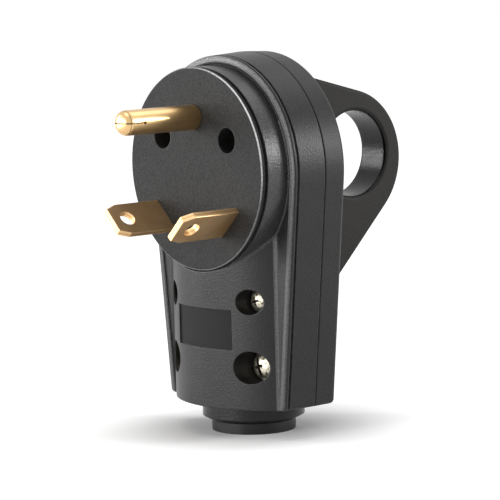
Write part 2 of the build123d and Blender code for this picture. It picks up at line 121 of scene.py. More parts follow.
# Patterns of the plastics: flow marks of the melt, marks of handling, rounding of the edges, the tool's
# grain, which is about 0.08 mm and is drawn at 0.4 mm so that it shows, and the roughness of a rubbed edge
FLOW_MARKS = 16 * MM
HANDLING_MARKS = 3 * MM
EDGE_ROUNDING = 0.35 * MM
GRAIN_DRAWN = 0.4 * MM
GRAIN_HEIGHT = 0.08 * MM
RUBBED_ROUGHNESS = 0.24

# Nose of the earth pin: the faint dark line round it, and the end of its saw cut, along which a dark line of
# painted shade is drawn. A pair is half the width of the line, with and without its soft edge.
NOSE_LINE = PIN_TIP + 1.5 * MM
NOSE_LINE_HALF = (0.16 * MM, 0.06 * MM)
SAW_CUT_END = PIN_TIP + 5.7 * MM
SAW_CUT_SHADE_HALF = (0.2 * MM, 0.1 * MM)

# How far up its broad direction the middle of a blade's thickness lies, and the break line along it
BLADE_MIDDLE = (BLADE_HEIGHT - BLADE_ASIDE) * math.sqrt(0.5)
BREAK_LINE_HALF = (0.2 * MM, 0.08 * MM)
BLADE_SHEET = ("#d9b68a", "#c9a070")
BLADE_EDGE = ("#f4cd98", "#b27c42")


def linear(hex_colour):
    """An sRGB hex colour as linear red, green, blue and a full alpha."""
    value = hex_colour.lstrip("#")
    parts = [int(value[i:i + 2], 16) / 255 for i in (0, 2, 4)]
    return [p / 12.92 if p <= 0.04045 else ((p + 0.055) / 1.055) ** 2.4 for p in parts] + [1.0]


def add(tree, kind, settings=None, inputs=None, at=(0, 0)):
    """One node with its settings and inputs, by name or number. An input that is a socket becomes a link."""
    node = tree.nodes.new(kind)
    node.location = at
    for name, value in (settings or {}).items():
        setattr(node, name, value)
    for name, value in (inputs or {}).items():
        if isinstance(value, bpy.types.NodeSocket):
            tree.links.new(value, node.inputs[name])
        else:
            node.inputs[name].default_value = value
    return node


def new_material(name):
    """An empty material, and the tree to fill."""
    material = bpy.data.materials.new(name)
    material.use_nodes = True
    material.node_tree.nodes.clear()
    return material, material.node_tree


# Measures and masks on the object's own coordinates

def from_axis(tree, place, across, middle, at):
    """How far a place is from the axis through middle. across keeps the two directions square to the axis."""
    x, y = at
    flat = add(tree, "ShaderNodeVectorMath", {"operation": "MULTIPLY"}, {0: place, 1: across}, at=at)
    away = add(tree, "ShaderNodeVectorMath", {"operation": "DISTANCE"}, {
        0: flat.outputs["Vector"], 1: middle}, at=(x + 200, y))
    return away.outputs["Value"]


def from_level(tree, value, level, at):
    """How far a value is from a level, to either side."""
    x, y = at
    off = add(tree, "ShaderNodeMath", {"operation": "SUBTRACT"}, {0: value, 1: level}, at=at)
    away = add(tree, "ShaderNodeMath", {"operation": "ABSOLUTE"}, {0: off.outputs["Value"]}, at=(x + 200, y))
    return away.outputs["Value"]


def where_all(tree, masks, at):
    """1 where every mask is 1, as their product."""
    x, y = at
    shared = masks[0]
    for number, mask in enumerate(masks[1:]):
        product = add(tree, "ShaderNodeMath", {"operation": "MULTIPLY"}, {
            0: shared, 1: mask}, at=(x + 200 * number, y))
        shared = product.outputs["Value"]
    return shared


def boss_region(tree, place):
    """1 on the round boss, whose skin is smoother than the flange's, and whose paler colour is a painted
    highlight.
    """
    radius = from_axis(tree, place, (1, 0, 1), (0, 0, FACE_HEIGHT), at=(-1500, 900))
    inside = add(tree, "ShaderNodeMapRange", inputs={
        "Value": radius, "From Min": BOSS_RADII[0], "From Max": BOSS_RADII[1]}, at=(-1100, 900))
    parts = add(tree, "ShaderNodeSeparateXYZ", inputs={"Vector": place}, at=(-1500, 700))
    front = add(tree, "ShaderNodeMapRange", inputs={
        "Value": parts.outputs["Y"], "From Min": BOSS_DEPTHS[0], "From Max": BOSS_DEPTHS[1]}, at=(-1100, 700))
    return where_all(tree, (inside.outputs["Result"], front.outputs["Result"]), at=(-900, 800))


def recess_region(tree, place):
    """1 in the bare recess of the hood, which is duller than the skin around it."""
    parts = add(tree, "ShaderNodeSeparateXYZ", inputs={"Vector": place}, at=(-1500, 400))
    side = from_level(tree, parts.outputs["X"], 0.0, at=(-1500, 600))
    across = add(tree, "ShaderNodeMapRange", inputs={
        "Value": side, "From Min": RECESS_HALF_WIDTHS[0], "From Max": RECESS_HALF_WIDTHS[1]}, at=(-1100, 600))
    rise = from_level(tree, parts.outputs["Z"], RECESS_MIDDLE, at=(-1500, 200))
    up = add(tree, "ShaderNodeMapRange", inputs={
        "Value": rise, "From Min": RECESS_HALF_HEIGHTS[0], "From Max": RECESS_HALF_HEIGHTS[1]},
        at=(-1100, 200))
    front = add(tree, "ShaderNodeMapRange", inputs={
        "Value": parts.outputs["Y"], "From Min": RECESS_DEPTHS[0], "From Max": RECESS_DEPTHS[1]},
        at=(-1100, 400))
    masks = (across.outputs["Result"], up.outputs["Result"], front.outputs["Result"])
    return where_all(tree, masks, at=(-900, 400))


def bead_highlight_region(tree, place):
    """1 on the crest of the flange's bead, which stands proud, is smoother, and is painted paler as a painted
    highlight, most at its upper part and where it faces forward."""
    parts = add(tree, "ShaderNodeSeparateXYZ", inputs={"Vector": place}, at=(-1700, 1300))
    proud = add(tree, "ShaderNodeMapRange", inputs={
        "Value": parts.outputs["Y"], "From Min": BEAD_DEPTHS[0], "From Max": BEAD_DEPTHS[1]},
        at=(-1500, 1300))
    below = add(tree, "ShaderNodeMath", {"operation": "GREATER_THAN"}, {
        0: parts.outputs["Y"], 1: BEAD_TOP}, at=(-1500, 1500))
    surface = add(tree, "ShaderNodeNewGeometry", at=(-1900, 1700))
    facing = add(tree, "ShaderNodeSeparateXYZ", inputs={"Vector": surface.outputs["Normal"]},
                 at=(-1700, 1700))
    ahead = add(tree, "ShaderNodeMapRange", inputs={
        "Value": facing.outputs["Y"], "From Min": BEAD_FACINGS[0], "From Max": BEAD_FACINGS[1]},
        at=(-1500, 1700))
    # The painted highlight is strongest on the upper part of the bead
    wear_and_highlight = add(tree, "ShaderNodeMapRange", inputs={
        "Value": parts.outputs["Z"], "From Min": BEAD_HIGHLIGHT_HEIGHTS[0], "From Max": BEAD_HIGHLIGHT_HEIGHTS[1],
        "To Min": BEAD_LEAST_HIGHLIGHT}, at=(-1500, 1100))
    masks = (proud.outputs["Result"], below.outputs["Value"], ahead.outputs["Result"], wear_and_highlight.outputs["Result"])
    return where_all(tree, masks, at=(-1300, 1300))


def groove_shade_region(tree, place):
    """1 in the narrow grooves beside the bead round the top, painted the deepest black as painted shade."""
    parts = add(tree, "ShaderNodeSeparateXYZ", inputs={"Vector": place}, at=(-1700, 2100))
    shallow = add(tree, "ShaderNodeMapRange", inputs={
        "Value": parts.outputs["Y"], "From Min": GROOVE_SHADE_DEPTHS[0], "From Max": GROOVE_SHADE_DEPTHS[1]},
        at=(-1500, 2100))
    before = add(tree, "ShaderNodeMath", {"operation": "LESS_THAN"}, {
        0: parts.outputs["Y"], 1: GROOVE_SHADE_BACK}, at=(-1500, 2300))
    high = add(tree, "ShaderNodeMapRange", inputs={
        "Value": parts.outputs["Z"], "From Min": GROOVE_SHADE_HEIGHTS[0], "From Max": GROOVE_SHADE_HEIGHTS[1]},
        at=(-1500, 1900))
    masks = (shallow.outputs["Result"], before.outputs["Value"], high.outputs["Result"])
    return where_all(tree, masks, at=(-1300, 2100))


def rim_highlight_region(tree, place):
    """1 along the turn of the face plate's rim, painted pale as a thin line of painted highlight, strongest
    at its upper right.
    """
    radius = from_axis(tree, place, (1, 0, 1), (0, 0, FACE_HEIGHT), at=(-1500, 900))
    outer = add(tree, "ShaderNodeMapRange", inputs={
        "Value": radius, "From Min": RIM_RADII[0], "From Max": RIM_RADII[1]}, at=(-1100, 900))
    parts = add(tree, "ShaderNodeSeparateXYZ", inputs={"Vector": place}, at=(-1500, 500))
    front = add(tree, "ShaderNodeMapRange", inputs={
        "Value": parts.outputs["Y"], "From Min": RIM_DEPTHS[0], "From Max": RIM_DEPTHS[1]}, at=(-1100, 500))
    towards = add(tree, "ShaderNodeVectorMath", {"operation": "DOT_PRODUCT"}, {
        0: place, 1: RIM_HIGHLIGHT_TOWARDS}, at=(-1500, 700))
    middle = RIM_HIGHLIGHT_TOWARDS[2] * FACE_HEIGHT
    # The painted highlight is strongest towards the upper right
    side = add(tree, "ShaderNodeMapRange", inputs={
        "Value": towards.outputs["Value"], "From Min": middle + RIM_HIGHLIGHT_FROM_MIDDLE[0],
        "From Max": middle + RIM_HIGHLIGHT_FROM_MIDDLE[1], "To Min": RIM_LEAST_HIGHLIGHT}, at=(-1100, 700))
    masks = (outer.outputs["Result"], front.outputs["Result"], side.outputs["Result"])
    return where_all(tree, masks, at=(-900, 700))


def fin_region(tree, place):
    """1 on the fin handle, which handling has left duller and a little warmer."""
    parts = add(tree, "ShaderNodeSeparateXYZ", inputs={"Vector": place}, at=(-1500, 600))
    behind = add(tree, "ShaderNodeMapRange", inputs={
        "Value": parts.outputs["Y"], "From Min": FIN_DEPTHS[0], "From Max": FIN_DEPTHS[1]}, at=(-1300, 600))
    return behind.outputs["Result"]


def finger_bore_region(tree, place):
    """1 on the wall of the finger hole, which fingers have polished smoother, and whose darker colour is
    painted shade.
    """
    radius = from_axis(tree, place, (0, 1, 1), FINGER_HOLE, at=(-1500, 1100))
    inside = add(tree, "ShaderNodeMapRange", inputs={
        "Value": radius, "From Min": FINGER_BORE_RADII[0], "From Max": FINGER_BORE_RADII[1]},
        at=(-1100, 1100))
    return inside.outputs["Result"]


# Plastics. Black ABS or nylon, injection moulded in spark-eroded tools: an even, deep black with a soft broad
# sheen and a fine sandy grain. The depth of the black drifts a little where the melt flowed, and edges turn
# paler, partly as wear and partly as a painted highlight. Some regions carry painted highlights or painted
# shade in their colour.

def edge_wear_and_highlight(tree, place, rounded):
    """How much an edge is drawn paler, partly as wear and partly as a painted highlight: most where the
    surface turns fastest, and unevenly, as hands rub it.
    """
    surface = add(tree, "ShaderNodeNewGeometry", at=(-1100, -350))
    turn = add(tree, "ShaderNodeVectorMath", {"operation": "DOT_PRODUCT"}, {
        0: rounded, 1: surface.outputs["Normal"]}, at=(-700, -350))
    edge = add(tree, "ShaderNodeMapRange", inputs={
        "Value": turn.outputs["Value"], "From Min": 0.995, "From Max": 0.86, "To Max": 0.5}, at=(-500, -350))
    handling = add(tree, "ShaderNodeTexNoise", inputs={
        "Vector": place, "Scale": 1 / HANDLING_MARKS, "Detail": 4.0}, at=(-900, -200))
    uneven = add(tree, "ShaderNodeMapRange", inputs={
        "Value": handling.outputs["Fac"], "From Min": 0.35, "From Max": 0.65, "To Min": 0.25},
        at=(-700, -200))
    return where_all(tree, (edge.outputs["Result"], uneven.outputs["Result"]), at=(-300, -300))


def moulded_plastic(name, skin, deep, edge_wear_and_highlight_colour, roughness, gloss, regions=()):
    """Moulded plastic. Each region has its mask, its own colour and its own roughness."""
    material, tree = new_material(name)
    place = add(tree, "ShaderNodeTexCoord", at=(-1800, 0)).outputs["Object"]
    flow = add(tree, "ShaderNodeTexNoise", inputs={
        "Vector": place, "Scale": 1 / FLOW_MARKS, "Detail": 3.0, "Roughness": 0.55}, at=(-1500, 200))
    depth = add(tree, "ShaderNodeMapRange", inputs={
        "Value": flow.outputs["Fac"], "From Min": 0.35, "From Max": 0.65}, at=(-1200, 200))
    tone = add(tree, "ShaderNodeMix", {"data_type": "RGBA"}, {
        0: depth.outputs["Result"], 6: linear(deep), 7: linear(skin)}, at=(-500, 200))
    sheen = add(tree, "ShaderNodeMapRange", inputs={
        "Value": flow.outputs["Fac"], "From Min": 0.3, "From Max": 0.7,
        "To Min": roughness - 0.02, "To Max": roughness + 0.03}, at=(-1200, -50))
    colour, dullness = tone.outputs[2], sheen.outputs["Result"]
    for number, (region, region_colour, region_roughness) in enumerate(regions):
        mask = region(tree, place)
        painted = add(tree, "ShaderNodeMix", {"data_type": "RGBA"}, {
            0: mask, 6: colour, 7: linear(region_colour)}, at=(-300 + 150 * number, 300))
        dulled = add(tree, "ShaderNodeMix", {"data_type": "FLOAT"}, {
            0: mask, 2: dullness, 3: region_roughness}, at=(-300 + 150 * number, 0))
        colour, dullness = painted.outputs[2], dulled.outputs[0]
    # Edges are rounded as the tool leaves them, rubbed smoother, and drawn paler, partly as wear and partly
    # as a painted highlight
    rounded = add(tree, "ShaderNodeBevel", {"samples": 6}, {"Radius": EDGE_ROUNDING}, at=(-900, -500))
    edge_paling = edge_wear_and_highlight(tree, place, rounded.outputs["Normal"])
    wear_and_highlight = add(tree, "ShaderNodeMix", {"data_type": "RGBA"}, {
        0: edge_paling, 6: colour, 7: linear(edge_wear_and_highlight_colour)}, at=(400, 200))
    smoothed = add(tree, "ShaderNodeMix", {"data_type": "FLOAT"}, {
        0: edge_paling, 2: dullness, 3: RUBBED_ROUGHNESS}, at=(400, 0))
    # The grain speckles the colour and roughens the surface
    grain = add(tree, "ShaderNodeTexNoise", inputs={
        "Vector": place, "Scale": 1 / GRAIN_DRAWN, "Detail": 2.0, "Roughness": 0.6}, at=(-700, -700))
    speck = add(tree, "ShaderNodeMapRange", inputs={
        "Value": grain.outputs["Fac"], "From Min": 0.3, "From Max": 0.7, "To Min": 0.55, "To Max": 1.45},
        at=(-300, -600))
    speckled = add(tree, "ShaderNodeVectorMath", {"operation": "SCALE"}, {
        0: wear_and_highlight.outputs[2], "Scale": speck.outputs["Result"]}, at=(600, 200))
    bump = add(tree, "ShaderNodeBump", inputs={
        "Strength": 1.0, "Distance": GRAIN_HEIGHT, "Height": grain.outputs["Fac"],
        "Normal": rounded.outputs["Normal"]}, at=(0, -600))
    shader = add(tree, "ShaderNodeBsdfPrincipled", inputs={
        "Base Color": speckled.outputs["Vector"], "Roughness": smoothed.outputs[0], "IOR": 1.5,
        "Specular IOR Level": gloss, "Normal": bump.outputs["Normal"]}, at=(800, 0))
    add(tree, "ShaderNodeOutputMaterial", inputs={"Surface": shader.outputs["BSDF"]}, at=(1100, 0))
    return material


def soft_rubber(name, skin, dusty):
    """Moulded soft rubber of the grommet: a dull black with a faint grey bloom in patches of about 5 mm,
    pores of about 0.2 mm and a wide, weak sheen."""
    material, tree = new_material(name)
    place = add(tree, "ShaderNodeTexCoord", at=(-1200, 0)).outputs["Object"]
    bloom = add(tree, "ShaderNodeTexNoise", inputs={
        "Vector": place, "Scale": 1 / (5 * MM), "Detail": 4.0}, at=(-900, 200))
    amount = add(tree, "ShaderNodeMapRange", inputs={
        "Value": bloom.outputs["Fac"], "From Min": 0.4, "From Max": 0.75, "To Max": 0.6}, at=(-600, 200))
    tone = add(tree, "ShaderNodeMix", {"data_type": "RGBA"}, {
        0: amount.outputs["Result"], 6: linear(skin), 7: linear(dusty)}, at=(-300, 200))
    pores = add(tree, "ShaderNodeTexNoise", inputs={
        "Vector": place, "Scale": 1 / (0.2 * MM), "Detail": 2.0}, at=(-900, -200))
    bump = add(tree, "ShaderNodeBump", inputs={
        "Strength": 0.4, "Distance": 0.02 * MM, "Height": pores.outputs["Fac"]}, at=(-300, -200))
    dull = add(tree, "ShaderNodeMapRange", inputs={
        "Value": bloom.outputs["Fac"], "From Min": 0.3, "From Max": 0.7, "To Min": 0.36, "To Max": 0.46},
        at=(-600, 0))
    shader = add(tree, "ShaderNodeBsdfPrincipled", inputs={
        "Base Color": tone.outputs[2], "Roughness": dull.outputs["Result"], "IOR": 1.52,
        "Specular IOR Level": 0.3, "Normal": bump.outputs["Normal"]}, at=(0, 0))
    add(tree, "ShaderNodeOutputMaterial", inputs={"Surface": shader.outputs["BSDF"]}, at=(300, 0))
    return material


# Metals, and the grime and painted shade in a screw's recess

def pin_nose_lines(tree, place):
    """How dark the nose of the earth pin is drawn: a faint dark line round it, and a dark line of painted
    shade along its fine saw cut, which runs on over the nose where the solid has no cut."""
    parts = add(tree, "ShaderNodeSeparateXYZ", inputs={"Vector": place}, at=(-1500, 700))
    along = from_level(tree, parts.outputs["Y"], NOSE_LINE, at=(-1300, 500))
    line = add(tree, "ShaderNodeMapRange", inputs={
        "Value": along, "From Min": NOSE_LINE_HALF[0], "From Max": NOSE_LINE_HALF[1], "To Max": 0.6},
        at=(-900, 500))
    beside = from_level(tree, parts.outputs["Z"], PIN_HEIGHT, at=(-1300, 700))
    thin = add(tree, "ShaderNodeMapRange", inputs={
        "Value": beside, "From Min": SAW_CUT_SHADE_HALF[0], "From Max": SAW_CUT_SHADE_HALF[1]}, at=(-900, 700))
    before = add(tree, "ShaderNodeMath", {"operation": "LESS_THAN"}, {
        0: parts.outputs["Y"], 1: SAW_CUT_END}, at=(-900, 900))
    # Painted shade along the saw cut
    cut = where_all(tree, (thin.outputs["Result"], before.outputs["Value"]), at=(-700, 800))
    dark = add(tree, "ShaderNodeMath", {"operation": "MAXIMUM"}, {
        0: cut, 1: line.outputs["Result"]}, at=(-300, 700))
    return dark.outputs["Value"]


def turned_brass(name, bright, aged, roughness, nose_lines=None):
    """Brass turned from bar and tumbled: a soft gold with faint rings round its length, browner where it has
    aged. A thin film of tarnish scatters a little light. The rings are about 0.1 mm apart, and are drawn at
    0.25 mm so that they show. nose_lines is the colour of the dark lines on a pin's nose, one of them painted
    shade along its saw cut."""
    material, tree = new_material(name)
    place = add(tree, "ShaderNodeTexCoord", at=(-1500, 0)).outputs["Object"]
    along = add(tree, "ShaderNodeMapping", inputs={
        "Vector": place, "Scale": (1 / (9 * MM), 1 / (0.25 * MM), 1 / (9 * MM))}, at=(-1200, -200))
    rings = add(tree, "ShaderNodeTexNoise", inputs={
        "Vector": along.outputs["Vector"], "Scale": 1.0, "Detail": 1.0}, at=(-900, -200))
    age = add(tree, "ShaderNodeTexNoise", inputs={
        "Vector": place, "Scale": 1 / (8 * MM), "Detail": 3.0}, at=(-900, 200))
    amount = add(tree, "ShaderNodeMapRange", inputs={
        "Value": age.outputs["Fac"], "From Min": 0.35, "From Max": 0.75, "To Max": 0.5}, at=(-600, 200))
    tone = add(tree, "ShaderNodeMix", {"data_type": "RGBA"}, {
        0: amount.outputs["Result"], 6: linear(bright), 7: linear(aged)}, at=(-300, 200))
    dull = add(tree, "ShaderNodeMapRange", inputs={
        "Value": rings.outputs["Fac"], "From Min": 0.3, "From Max": 0.7,
        "To Min": roughness - 0.015, "To Max": roughness + 0.015}, at=(-600, -50))
    colour = tone.outputs[2]
    if nose_lines:
        lined = add(tree, "ShaderNodeMix", {"data_type": "RGBA"}, {
            0: pin_nose_lines(tree, place), 6: colour, 7: linear(nose_lines)}, at=(-100, 300))
        colour = lined.outputs[2]
    bump = add(tree, "ShaderNodeBump", inputs={
        "Strength": 0.1, "Distance": 0.002 * MM, "Height": rings.outputs["Fac"]}, at=(-300, -300))
    shader = add(tree, "ShaderNodeBsdfPrincipled", inputs={
        "Base Color": colour, "Metallic": 0.9, "Roughness": dull.outputs["Result"],
        "Normal": bump.outputs["Normal"]}, at=(200, 0))
    add(tree, "ShaderNodeOutputMaterial", inputs={"Surface": shader.outputs["BSDF"]}, at=(500, 0))
    return material


def cut_edge_tone(tree, place, broad):
    """Colour of a blade's cut edges: a warm, bright metal with a darker break line along the middle."""
    through = add(tree, "ShaderNodeVectorMath", {"operation": "DOT_PRODUCT"}, {
        0: place, 1: broad}, at=(-1300, 700))
    beside = from_level(tree, through.outputs["Value"], BLADE_MIDDLE, at=(-1100, 700))
    line = add(tree, "ShaderNodeMapRange", inputs={
        "Value": beside, "From Min": BREAK_LINE_HALF[0], "From Max": BREAK_LINE_HALF[1], "To Max": 0.6},
        at=(-700, 700))
    tone = add(tree, "ShaderNodeMix", {"data_type": "RGBA"}, {
        0: line.outputs["Result"], 6: linear(BLADE_EDGE[0]), 7: linear(BLADE_EDGE[1])}, at=(-500, 500))
    return tone.outputs[2]


def rolled_brass_blade(name, lean):
    """Brass sheet, cold rolled and blanked: broad faces of a satin brown gold with fine lines along their
    length and a film of tarnish that scatters light, and brighter cut edges. The roll lines are about 0.1 mm
    apart, and are drawn at 0.3 mm so that they show. lean is the side the broad face leans to."""
    broad = (lean * math.sqrt(0.5), 0, math.sqrt(0.5))
    material, tree = new_material(name)
    place = add(tree, "ShaderNodeTexCoord", at=(-1500, 0)).outputs["Object"]
    surface = add(tree, "ShaderNodeNewGeometry", at=(-1500, 400))
    facing = add(tree, "ShaderNodeVectorMath", {"operation": "DOT_PRODUCT"}, {
        0: surface.outputs["Normal"], 1: broad}, at=(-1300, 400))
    square = add(tree, "ShaderNodeMath", {"operation": "ABSOLUTE"}, {
        0: facing.outputs["Value"]}, at=(-1100, 400))
    cut = add(tree, "ShaderNodeMapRange", inputs={
        "Value": square.outputs["Value"], "From Min": 0.9, "From Max": 0.6}, at=(-900, 400))
    along = add(tree, "ShaderNodeMapping", inputs={
        "Vector": place, "Scale": (1 / (0.3 * MM), 1 / (25 * MM), 1 / (0.3 * MM))}, at=(-1200, -200))
    lines = add(tree, "ShaderNodeTexNoise", inputs={
        "Vector": along.outputs["Vector"], "Scale": 1.0, "Detail": 2.0}, at=(-900, -200))
    age = add(tree, "ShaderNodeTexNoise", inputs={
        "Vector": place, "Scale": 1 / (7 * MM), "Detail": 3.0}, at=(-900, 150))
    amount = add(tree, "ShaderNodeMapRange", inputs={
        "Value": age.outputs["Fac"], "From Min": 0.35, "From Max": 0.7}, at=(-700, 150))
    sheet = add(tree, "ShaderNodeMix", {"data_type": "RGBA"}, {
        0: amount.outputs["Result"], 6: linear(BLADE_SHEET[0]), 7: linear(BLADE_SHEET[1])}, at=(-500, 150))
    tone = add(tree, "ShaderNodeMix", {"data_type": "RGBA"}, {
        0: cut.outputs["Result"], 6: sheet.outputs[2], 7: cut_edge_tone(tree, place, broad)}, at=(-200, 300))
    dull = add(tree, "ShaderNodeMapRange", inputs={
        "Value": lines.outputs["Fac"], "From Min": 0.3, "From Max": 0.7, "To Min": 0.4, "To Max": 0.46},
        at=(-600, -50))
    bump = add(tree, "ShaderNodeBump", inputs={
        "Strength": 0.15, "Distance": 0.004 * MM, "Height": lines.outputs["Fac"]}, at=(-300, -300))
    shader = add(tree, "ShaderNodeBsdfPrincipled", inputs={
        "Base Color": tone.outputs[2], "Metallic": 0.88, "Roughness": dull.outputs["Result"],
        "Normal": bump.outputs["Normal"]}, at=(200, 0))
    add(tree, "ShaderNodeOutputMaterial", inputs={"Surface": shader.outputs["BSDF"]}, at=(500, 0))
    return material


def plated_steel(name, bright, stained, roughness):
    """Steel with a tumbled nickel or dyed zinc plating: a soft mirror, with small darker stains of about
    0.7 mm and fine marks of about 0.25 mm."""
    material, tree = new_material(name)
    place = add(tree, "ShaderNodeTexCoord", at=(-1200, 0)).outputs["Object"]
    clouds = add(tree, "ShaderNodeTexNoise", inputs={
        "Vector": place, "Scale": 1 / (0.7 * MM), "Detail": 4.0}, at=(-900, 200))
    amount = add(tree, "ShaderNodeMapRange", inputs={
        "Value": clouds.outputs["Fac"], "From Min": 0.47, "From Max": 0.62}, at=(-600, 200))
    tone = add(tree, "ShaderNodeMix", {"data_type": "RGBA"}, {
        0: amount.outputs["Result"], 6: linear(bright), 7: linear(stained)}, at=(-300, 200))
    scratch = add(tree, "ShaderNodeTexNoise", inputs={
        "Vector": place, "Scale": 1 / (0.25 * MM), "Detail": 3.0}, at=(-900, -200))
    dull = add(tree, "ShaderNodeMapRange", inputs={
        "Value": scratch.outputs["Fac"], "From Min": 0.3, "From Max": 0.7,
        "To Min": roughness - 0.05, "To Max": roughness + 0.06}, at=(-600, -50))
    bump = add(tree, "ShaderNodeBump", inputs={
        "Strength": 0.3, "Distance": 0.006 * MM, "Height": scratch.outputs["Fac"]}, at=(-300, -300))
    shader = add(tree, "ShaderNodeBsdfPrincipled", inputs={
        "Base Color": tone.outputs[2], "Metallic": 1.0, "Roughness": dull.outputs["Result"],
        "Normal": bump.outputs["Normal"]}, at=(0, 0))
    add(tree, "ShaderNodeOutputMaterial", inputs={"Surface": shader.outputs["BSDF"]}, at=(300, 0))
    return material


def grime_and_shade(name, dry, greasy):
    """Old grease and dust that a screwdriver leaves in a screw's recess, and the recess's painted shade:
    nearly black, in blotches of about 0.4 mm."""
    material, tree = new_material(name)
    place = add(tree, "ShaderNodeTexCoord", at=(-900, 0)).outputs["Object"]
    blotches = add(tree, "ShaderNodeTexNoise", inputs={
        "Vector": place, "Scale": 1 / (0.4 * MM), "Detail": 3.0}, at=(-600, 0))
    tone = add(tree, "ShaderNodeMix", {"data_type": "RGBA"}, {
        0: blotches.outputs["Fac"], 6: linear(greasy), 7: linear(dry)}, at=(-300, 100))
    bump = add(tree, "ShaderNodeBump", inputs={
        "Strength": 0.5, "Distance": 0.03 * MM, "Height": blotches.outputs["Fac"]}, at=(-300, -200))
    shader = add(tree, "ShaderNodeBsdfPrincipled", inputs={
        "Base Color": tone.outputs[2], "Roughness": 0.7, "IOR": 1.47, "Specular IOR Level": 0.3,
        "Normal": bump.outputs["Normal"]}, at=(0, 0))
    add(tree, "ShaderNodeOutputMaterial", inputs={"Surface": shader.outputs["BSDF"]}, at=(300, 0))
    return material


# The boss and the bead carry painted highlights in their paler colours, and the grooves beside the bead carry
# painted shade
front_skin = moulded_plastic("satin_black_front_shell", "#202020", "#1b1b1b", "#6a6a6a", 0.37, 0.28, [
    (boss_region, "#484848", 0.29), (recess_region, "#0a0a0a", 0.75), (bead_highlight_region, "#747474", 0.3),
    (groove_shade_region, "#050505", 0.7)])
# The finger bore's dark colour is painted shade
rear_skin = moulded_plastic("satin_black_rear_shell", "#1f1f1f", "#1a1a1a", "#626262", 0.42, 0.24, [
    (fin_region, "#0d0b07", 0.6), (finger_bore_region, "#060605", 0.17)])
# The face plate's pale rim line is a painted highlight
face_skin = moulded_plastic("matt_black_face_plate", "#2e2e2e", "#282828", "#8a8a8a", 0.5, 0.1, [
    (rim_highlight_region, "#e0e0e0", 0.3)])
insulator_skin = moulded_plastic("moulded_insulating_nylon", "#2b2a28", "#242322", "#5c5a56", 0.5, 0.3)
collar_skin = moulded_plastic("smooth_black_collar", "#171717", "#131313", "#4c4c4c", 0.3, 0.27)
grommet_rubber = soft_rubber("soft_black_grommet_rubber", "#0f0f0f", "#1c1c1b")
pin_brass = turned_brass("turned_brass_earth_pin", "#e2bf8a", "#c4965f", 0.3, nose_lines="#2a1a0e")
terminal_brass = turned_brass("turned_terminal_brass", "#dcb877", "#b08645", 0.34)
line_blade_brass = rolled_brass_blade("rolled_brass_line_blade", -1)
neutral_blade_brass = rolled_brass_blade("rolled_brass_neutral_blade", 1)
screw_nickel = plated_steel("nickel_plated_screw_steel", "#cfc9b8", "#5d5544", 0.38)
ground_screw_green = plated_steel("green_dyed_zinc_screw_steel", "#3f8a55", "#2f7045", 0.33)
# The screw recesses are drawn nearly black, partly grime and partly painted shade
recess_grime_and_shade = grime_and_shade("grime_and_shade_in_screw_recess", "#3a342b", "#1b1815")

FINISHES = {
    "front_shell": front_skin, "rear_shell": rear_skin, "face_plate": face_skin,
    "contact_carrier": insulator_skin, "cord_clamp": insulator_skin,
    "collar_ring": collar_skin, "cord_grommet": grommet_rubber,
    "ground_pin": pin_brass, "line_blade": line_blade_brass, "neutral_blade": neutral_blade_brass,
    "ground_lug": terminal_brass, "line_lug": terminal_brass, "neutral_lug": terminal_brass,
    "ground_saddle": terminal_brass, "line_saddle": terminal_brass, "neutral_saddle": terminal_brass,
    "line_screw": terminal_brass, "face_inserts": terminal_brass, "upper_inserts": terminal_brass,
    "ground_screw": ground_screw_green, "neutral_screw": screw_nickel, "carrier_screws": screw_nickel,
    "face_screws": screw_nickel, "upper_screws": screw_nickel, "clamp_screws": screw_nickel,
    "clamp_washers": screw_nickel, "clamp_nuts": screw_nickel,
}
for node, finish in FINISHES.items():
    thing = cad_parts[node]
    if not thing.data.materials:
        thing.data.materials.append(finish)
    for slot in thing.material_slots:
        slot.material = finish


# Screws in the hood. One tree makes a pair: a domed head with a cross recess and, on the cord clamp's screws,
# a slot as well, on a plain shank. Each screw is turned by its own amount, as a hand leaves it.

SCREW_SIZES = (
    "Head Radius", "Head Height", "Dome Rise", "Shank Radius", "Length", "Half Spacing", "Head Front",
    "Level", "Recess Width", "Recess Span", "Recess Depth", "Slot Width", "Slot Depth",
)
UPPER_SCREW = {
    "Shank Radius": 1.5 * MM, "Head Height": 1.7 * MM, "Recess Width": 0.8 * MM, "Recess Span": 3.3 * MM,
    "Recess Depth": 1.1 * MM, "Slot Width": 0.0, "Slot Depth": 0.0,
}
CLAMP_SCREW = {
    "Shank Radius": 2.0 * MM, "Head Height": 2.0 * MM, "Recess Width": 0.95 * MM, "Recess Span": 3.8 * MM,
    "Recess Depth": 1.3 * MM, "Slot Width": 0.9 * MM, "Slot Depth": 0.85 * MM,
}

# The dome: its share of the head's height, and the power by which it falls off towards the rim
DOME_SHARE = 0.55
DOME_FALL_OFF = 2.6

# Faces round the head and round the shank, and rings on the head's front
HEAD_SIDES = 48
SHANK_SIDES = 32
HEAD_RINGS = 10

# The recess has the first share of its width below the taper's lower end and the second above its upper end.
# Points closer than the weld become one, and rims steeper than the crease stay sharp.
RECESS_TAPER = (0.5, 1.05)
RECESS_TAPER_ENDS = (-0.5 * MM, 0.5 * MM)
WELD = 0.004 * MM
RIM_CREASE = math.radians(32)

# Least and greatest turn of a screw, in radians, and the seed that they are drawn with
SCREW_TURNS = (0.3, 1.9)
TURN_SEED = 5


